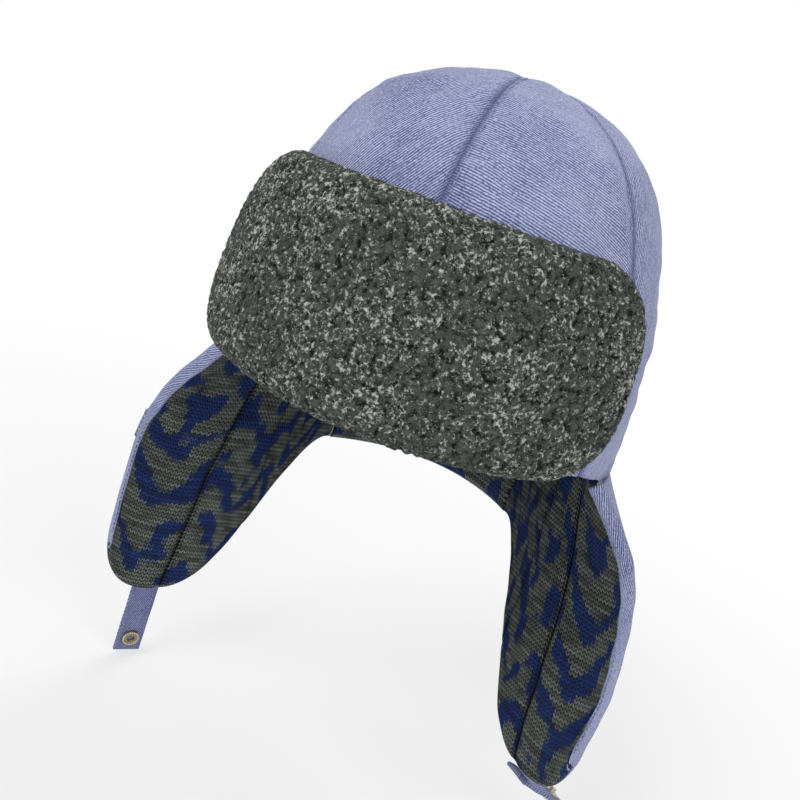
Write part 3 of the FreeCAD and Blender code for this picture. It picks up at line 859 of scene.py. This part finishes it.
def ear_lining(name, side, part):
    """One gore of the knit lining, rounded into the hem and into the crease between the gores."""
    wall = sizes().wall * 1000.0
    share, down = grid(91, 131)
    seam = EAR["seam_top"] + (EAR["seam_hem"] - EAR["seam_top"]) * down
    if part == "front":
        across = 0.0009 + (seam - 0.0009) * (1.0 - np.cos(0.5 * math.pi * share))
    else:
        across = seam + (1.0 - seam) * share
    base, inward = ear_wall(across, down, side)
    width = distances(base, 0)
    to_first, to_last = width, width[-1:] - width
    crease = to_last if part == "front" else to_first
    hem = hem_distance(base)
    drop = round_over(hem, 8.0, 0.5 * wall) + round_over(crease, 5.0, 0.3 * wall)
    if part == "front":
        drop = drop + round_over(to_first, 2.5, 0.9)
    else:
        dart = np.abs(width - 0.45 * width[-1:])
        drop = drop + round_over(dart, 4.0, 0.16 * wall)
        crease = np.minimum(crease, dart + 0.8)
    drop = np.minimum(drop, 0.56 * wall)
    plump = 1.1 * np.sin(math.pi * np.clip(width / np.maximum(width[-1:], 1.0), 0.0, 1.0))
    plump = plump + 0.5 * ripple(base, 23.0, 61)
    plump = plump * np.clip(hem / 12.0, 0.0, 1.0) * np.clip(distances(base, 1) / 10.0, 0.0, 1.0)
    inner = base + inward * (wall - drop + plump)[..., None]
    outer = base + inward * np.minimum(3.9, wall - drop + plump - 0.6)[..., None]
    slip = 40.0 if part == "rear" else 0.0
    uv = np.stack([width + slip, distances(base, 1) + slip * 0.6], -1)
    # The seam mark tells the knit finish where to paint shade along the crease and the dart.
    return cloth("ear_knit_%s_%s" % (part, name), outer, inner, uv, {"seam": crease + 0.4})


def ear_filling(name, side):
    wall = sizes().wall * 1000.0
    across, down = grid(41, 61)
    across = 0.012 + 0.976 * (1.0 - np.cos(0.5 * math.pi * across))
    base, inward = ear_wall(across, down * 0.97, side)
    drop = round_over(hem_distance(base), 8.0, 0.32 * wall)
    return cloth("ear_wadding_" + name, base + inward * (1.5 + drop)[..., None],
                 base + inward * np.maximum(3.6 - drop * 0.6, 1.9 + drop)[..., None],
                 np.stack([distances(base, 0), distances(base, 1)], -1))


def bend_with(piece):
    """Bakes the piece's placement into its mesh; nothing ties it to the crown or a flap."""
    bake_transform(piece)


class HAT_OT_ear_flaps(bpy.types.Operator):
    """Ear flaps: chambray face, wadding and two gores of knit lining"""
    bl_idname = "hat.ear_flaps"
    bl_label = "Ear flaps"

    def execute(self, context):
        cloth_finish = {name: chambray("chambray_ear_" + name, (1.0, 0.42 * SIDES[name])) for name in SIDES}
        filling = wadding("ear_wadding")
        for name, side in SIDES.items():
            body = "ear_flap_" + name
            pieces = [
                (ear_outer(name, side), cloth_finish[name], body + "_outer"),
                (ear_filling(name, side), filling, body + "_batting"),
            ]
            for part, seed in (("front", 7.0), ("rear", 19.0)):
                finish = knit("knit_%s_%s" % (part, name), seed + side)
                pieces.append((ear_lining(name, side, part), finish, "%s_lining_%s" % (body, part)))
            for piece, finish, node in pieces:
                finish_piece(piece, finish, None, node)
                bend_with(piece)
        return {"FINISHED"}


class HAT_OT_neck_flap(bpy.types.Operator):
    """Neck flap: chambray face, wadding and knit lining"""
    bl_idname = "hat.neck_flap"
    bl_label = "Neck flap"

    def execute(self, context):
        wall = sizes().wall * 1000.0
        across, down = grid(81, 61)
        base = neck_skin(across, down)
        inward = normals(base, (0.0, 10.0, -30.0))
        soft = 0.5 * ripple(base, 50.0, 71) * np.clip(distances(base, 1) / 12.0, 0.0, 1.0)
        base = base - inward * soft[..., None]
        hem = hem_distance(base)
        drop = round_over(hem, 7.0, 0.5 * wall)
        width = distances(base, 0)
        uv = np.stack([width, distances(base, 1)], -1)
        face = base + inward * drop[..., None]
        fluff_top = base + inward * (1.4 + 0.5 * drop)[..., None]
        fluff_foot = base + inward * np.maximum(4.5 - 0.5 * drop, 1.8 + 0.5 * drop)[..., None]
        knit_top = base + inward * np.minimum(4.7, wall - drop - 0.5)[..., None]
        knit_foot = base + inward * (wall - drop)[..., None]
        middle = np.abs(width - width[-1:] * 0.5)
        cloth_finish = chambray("chambray_neck")
        layers = [
            ("neck_cloth", face, face + inward * 1.1, {"seam": hem + 5.0}, cloth_finish, "outer"),
            ("neck_wadding", fluff_top, fluff_foot, {}, wadding("neck_wadding"), "batting"),
            # The seam mark tells the knit finish where to paint shade, along the middle of the flap.
            ("neck_knit", knit_top, knit_foot, {"seam": middle}, knit("knit_neck", 31.0), "lining"),
        ]
        for name, outer, inner, marks, finish, layer in layers:
            node = "neck_flap_" + layer
            piece = cloth(name, outer, inner, uv, marks)
            finish_piece(piece, finish, None, node)
            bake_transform(piece)
        return {"FINISHED"}


# ---------------------------------------------------------------- straps and snaps

def joint_named(name):
    for joint in frame["joints"]:
        if joint["name"] == name:
            return joint
    raise RuntimeError("no joint " + name)


def strap_axes(name):
    """Root, way down, way across and outside of a strap, from its hinge and its snap."""
    joint = joint_named("strap_%s_swing" % name)
    root = np.array(joint["pos_m"]) * 1000.0
    across = np.array(joint["axis"])
    across = across / np.linalg.norm(across)
    low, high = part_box("strap_" + name)
    middle = np.array((low + high) / 2.0) * 1000.0
    down = middle - root
    down -= across * (down @ across)
    down /= np.linalg.norm(down)
    out = np.cross(across, down)
    if out @ np.array([SIDES[name] * 0.69, 0.72, 0.0]) < 0 and abs(out[2]) < 0.99:
        out = -out
    return root, down, across, out


def strap_web(name, material):
    """Folded chambray strap: a little wavy, with a soft square end and stitched edges."""
    root, down, across, out = strap_axes(name)
    along, up = grid(41, 97)
    width = sizes().strap_width * 1000.0
    long, inset = STRAP["long"], STRAP["stitch_inset"]
    reach = -STRAP["tucked"] + (long + 4.8) * up
    x = (along - 0.5) * width
    end = np.clip((long - reach) / 2.0, 0.0, 1.0)
    x = x * (1.0 - 0.06 * (1.0 - np.sqrt(np.clip(1.0 - (1.0 - end) ** 2, 0.0, 1.0))))
    edge = np.minimum(0.5 * width - np.abs(x), long - reach)
    thick = 1.15 - round_over(edge, 1.4, 0.8) - 0.18 * np.exp(-((edge - inset) / 0.5) ** 2)
    free = np.clip((40.0 - reach) / 20.0, 0.0, 1.0)
    wave = 0.25 * ripple(np.stack([x, reach, 0.0 * x], -1), 17.0, 81) * free
    middle = root + across * x[..., None] + down * reach[..., None] + out * wave[..., None]
    piece = cloth("strap_web_" + name, middle + out * thick[..., None], middle - out * thick[..., None],
                  np.stack([x, reach], -1), {"seam": 1.0 + 0.2 * np.abs(edge - inset)})
    finish_piece(piece, material, "strap_" + name, "strap_" + name)


def strap_stitches(name, material):
    root, down, across, out = strap_axes(name)
    half = 0.5 * sizes().strap_width * 1000.0 - STRAP["stitch_inset"]
    rows = []
    corners = [(-half, 1.0), (-half, 40.1), (half, 40.1), (half, 1.0)]
    for face in (1.0, -1.0):
        for (x0, y0), (x1, y1) in zip(corners, corners[1:]):
            share = np.linspace(0.0, 1.0, 30)[:, None]
            line = root + across * (x0 + (x1 - x0) * share) + down * (y0 + (y1 - y0) * share)
            line = line + out * face * 0.78
            rows.append(stitch_row("stitches", line, np.tile(out * face, (30, 1)), 0.62, 0.22, 2.6))
    piece = join_pieces("strap_stitching_" + name, rows)
    finish_piece(piece, material, "strap_" + name)


def snap_beads(name, radius, bead, count, lift, material, body):
    """Ring of small beads round the rim of a snap."""
    root, down, across, out = strap_axes(name)
    centre = root + down * STRAP["snap"] + out * lift
    pieces = []
    for index in range(count):
        turn = 2.0 * math.pi * index / count
        spot = centre + (across * math.cos(turn) + down * math.sin(turn)) * radius
        bpy.ops.object.select_all(action="DESELECT")
        bpy.ops.mesh.primitive_uv_sphere_add(segments=12, ring_count=8, radius=bead / 1000.0,
                                             location=tuple(spot / 1000.0))
        pieces.append(bpy.context.active_object)
    piece = join_pieces(body + "_beads", pieces)
    select_only(piece)
    bpy.ops.object.transform_apply(location=True, rotation=True, scale=True)
    finish_piece(piece, material, body)


class HAT_OT_straps(bpy.types.Operator):
    """Snap straps with their stitching, and the finish of their snaps"""
    bl_idname = "hat.straps"
    bl_label = "Straps and snaps"

    def execute(self, context):
        web = chambray("chambray_strap")
        sewing = thread("strap_thread")
        for name in SIDES:
            strap_web(name, web)
            strap_stitches(name, sewing)
        tint = tuple(colours().metal)
        silver = metal("snap_metal", tint, 0.28)
        olive = metal("snap_olive", (0.42, 0.36, 0.17), 0.36)
        finishes = {
            "snap_socket": olive,
            "snap_prong_ring": silver,
            "snap_stud": silver,
            "snap_socket_spring": metal("spring_wire", (0.6, 0.6, 0.6), 0.25),
            "snap_cap": pearl("pearl_cap"),
        }
        for node, finish in finishes.items():
            data = frame["nodes"][node].data
            data.materials.clear()
            data.materials.append(finish)
        snap_beads("right", 4.15, 0.68, 20, -2.85, silver, "strap_right")
        return {"FINISHED"}


# ---------------------------------------------------------------- stage

def soft_light(name, spot, aim, size, power):
    lamp = bpy.data.lights.new(name, "AREA")
    lamp.shape = "DISK"
    lamp.size = size
    lamp.energy = power
    holder = bpy.data.objects.new(name, lamp)
    bpy.context.collection.objects.link(holder)
    holder.location = spot
    holder.rotation_euler = (Vector(aim) - Vector(spot)).to_track_quat("-Z", "Y").to_euler()


class HAT_OT_stage(bpy.types.Operator):
    """Pale floor, soft lights and the camera"""
    bl_idname = "hat.stage"
    bl_label = "Stage"

    def execute(self, context):
        scene = context.scene
        lowest = CAD_BOX[0][2]
        bpy.ops.object.select_all(action="DESELECT")
        bpy.ops.mesh.primitive_plane_add(size=6.0, location=(0.0, 0.0, lowest - 0.002))
        floor = context.active_object
        floor.name = "floor"
        finish = Finish("pale_floor", roughness=0.9)
        finish.shader.inputs["Base Color"].default_value = (0.86, 0.86, 0.86, 1.0)
        split = finish.add("ShaderNodeSeparateXYZ", None, [finish.place()])
        sideways, ahead = split, Wire(finish, split.socket.node.outputs[1])
        reach = (sideways * sideways + ahead * ahead) ** 0.5
        far = ((reach - 0.22) / 0.5).clip()
        seen = finish.add("ShaderNodeLightPath", output="Is Camera Ray")
        glow = finish.add("ShaderNodeEmission", None, {"Color": (1.0, 1.0, 1.0, 1.0), "Strength": 1.0})
        shown = Wire(finish, finish.shader.outputs["BSDF"])
        mixed = finish.add("ShaderNodeMixShader", None, [(0.45 + far * 0.55).clip() * seen, shown, glow])
        finish.links.new(mixed.socket, finish.nodes["Material Output"].inputs["Surface"])
        floor.data.materials.append(finish.material)
        middle = (0.0, 0.0, -0.02)
        soft_light("key", (-0.9, -1.3, 1.5), middle, 1.2, 21.0)
        soft_light("fill", (1.3, -0.9, 0.8), middle, 1.4, 9.0)
        soft_light("back", (0.2, 1.5, 1.2), middle, 1.2, 10.0)
        world = bpy.data.worlds.new("studio")
        scene.world = world
        world.use_nodes = True
        nodes, links = world.node_tree.nodes, world.node_tree.links
        soft = nodes["Background"]
        soft.inputs["Color"].default_value = (1.0, 1.0, 1.0, 1.0)
        soft.inputs["Strength"].default_value = 0.55
        seen = nodes.new("ShaderNodeBackground")
        seen.inputs["Color"].default_value = (1.0, 1.0, 1.0, 1.0)
        seen.inputs["Strength"].default_value = 1.0
        path = nodes.new("ShaderNodeLightPath")
        either = nodes.new("ShaderNodeMath")
        either.operation = "MAXIMUM"
        links.new(path.outputs["Is Camera Ray"], either.inputs[0])
        links.new(path.outputs["Is Glossy Ray"], either.inputs[1])
        mixed = nodes.new("ShaderNodeMixShader")
        links.new(either.outputs[0], mixed.inputs[0])
        links.new(soft.outputs[0], mixed.inputs[1])
        links.new(seen.outputs[0], mixed.inputs[2])
        links.new(mixed.outputs[0], nodes["World Output"].inputs["Surface"])

        lens = bpy.data.cameras.new("camera")
        lens.lens = 38.7
        lens.sensor_width = 36.0
        lens.clip_start = 0.02
        camera = bpy.data.objects.new("camera", lens)
        context.collection.objects.link(camera)
        turn, rise, roll = 0.1968, 0.2793, 0.3363
        back = Vector((math.sin(turn) * math.cos(rise), -math.cos(turn) * math.cos(rise), math.sin(rise)))
        right = Vector((math.cos(turn), math.sin(turn), 0.0))
        up = back.cross(right)
        tilted_right = right * math.cos(roll) + up * math.sin(roll)
        tilted_up = up * math.cos(roll) - right * math.sin(roll)
        matrix = Matrix((tilted_right, tilted_up, back)).transposed().to_4x4()
        matrix.translation = Vector((0.0681, -0.3870, 0.1070))
        camera.matrix_world = matrix
        scene.camera = camera
        scene.view_settings.view_transform = "Standard"
        return {"FINISHED"}


OPERATORS = (HAT_OT_crown, HAT_OT_crown_stitching, HAT_OT_crown_inside, HAT_OT_front_flap, HAT_OT_ear_flaps,
             HAT_OT_neck_flap, HAT_OT_straps, HAT_OT_stage)


class HAT_PT_panel(bpy.types.Panel):
    """Sizes, colours and the building steps of the hat"""
    bl_label = "Trapper Hat"
    bl_idname = "HAT_PT_panel"
    bl_space_type = "VIEW_3D"
    bl_region_type = "UI"
    bl_category = "Trapper Hat"

    def draw(self, context):
        for group in (context.scene.hat_sizes, context.scene.hat_colours):
            for key in group.__annotations__:
                self.layout.prop(group, key)
        for step in OPERATORS:
            self.layout.operator(step.bl_idname)


CLASSES = (HatSizes, HatColours, *OPERATORS, HAT_PT_panel)


def register():
    for item in CLASSES:
        bpy.utils.register_class(item)
    bpy.types.Scene.hat_sizes = PointerProperty(type=HatSizes)
    bpy.types.Scene.hat_colours = PointerProperty(type=HatColours)


def unregister():
    del bpy.types.Scene.hat_sizes
    del bpy.types.Scene.hat_colours
    for item in reversed(CLASSES):
        bpy.utils.unregister_class(item)


def main():
    register()
    bpy.ops.hat.crown()
    bpy.ops.hat.crown_stitching()
    bpy.ops.hat.crown_inside()
    bpy.ops.hat.front_flap()
    bpy.ops.hat.ear_flaps()
    bpy.ops.hat.neck_flap()
    bpy.ops.hat.straps()
    bpy.ops.hat.stage()


if __name__ == "__main__":
    main()
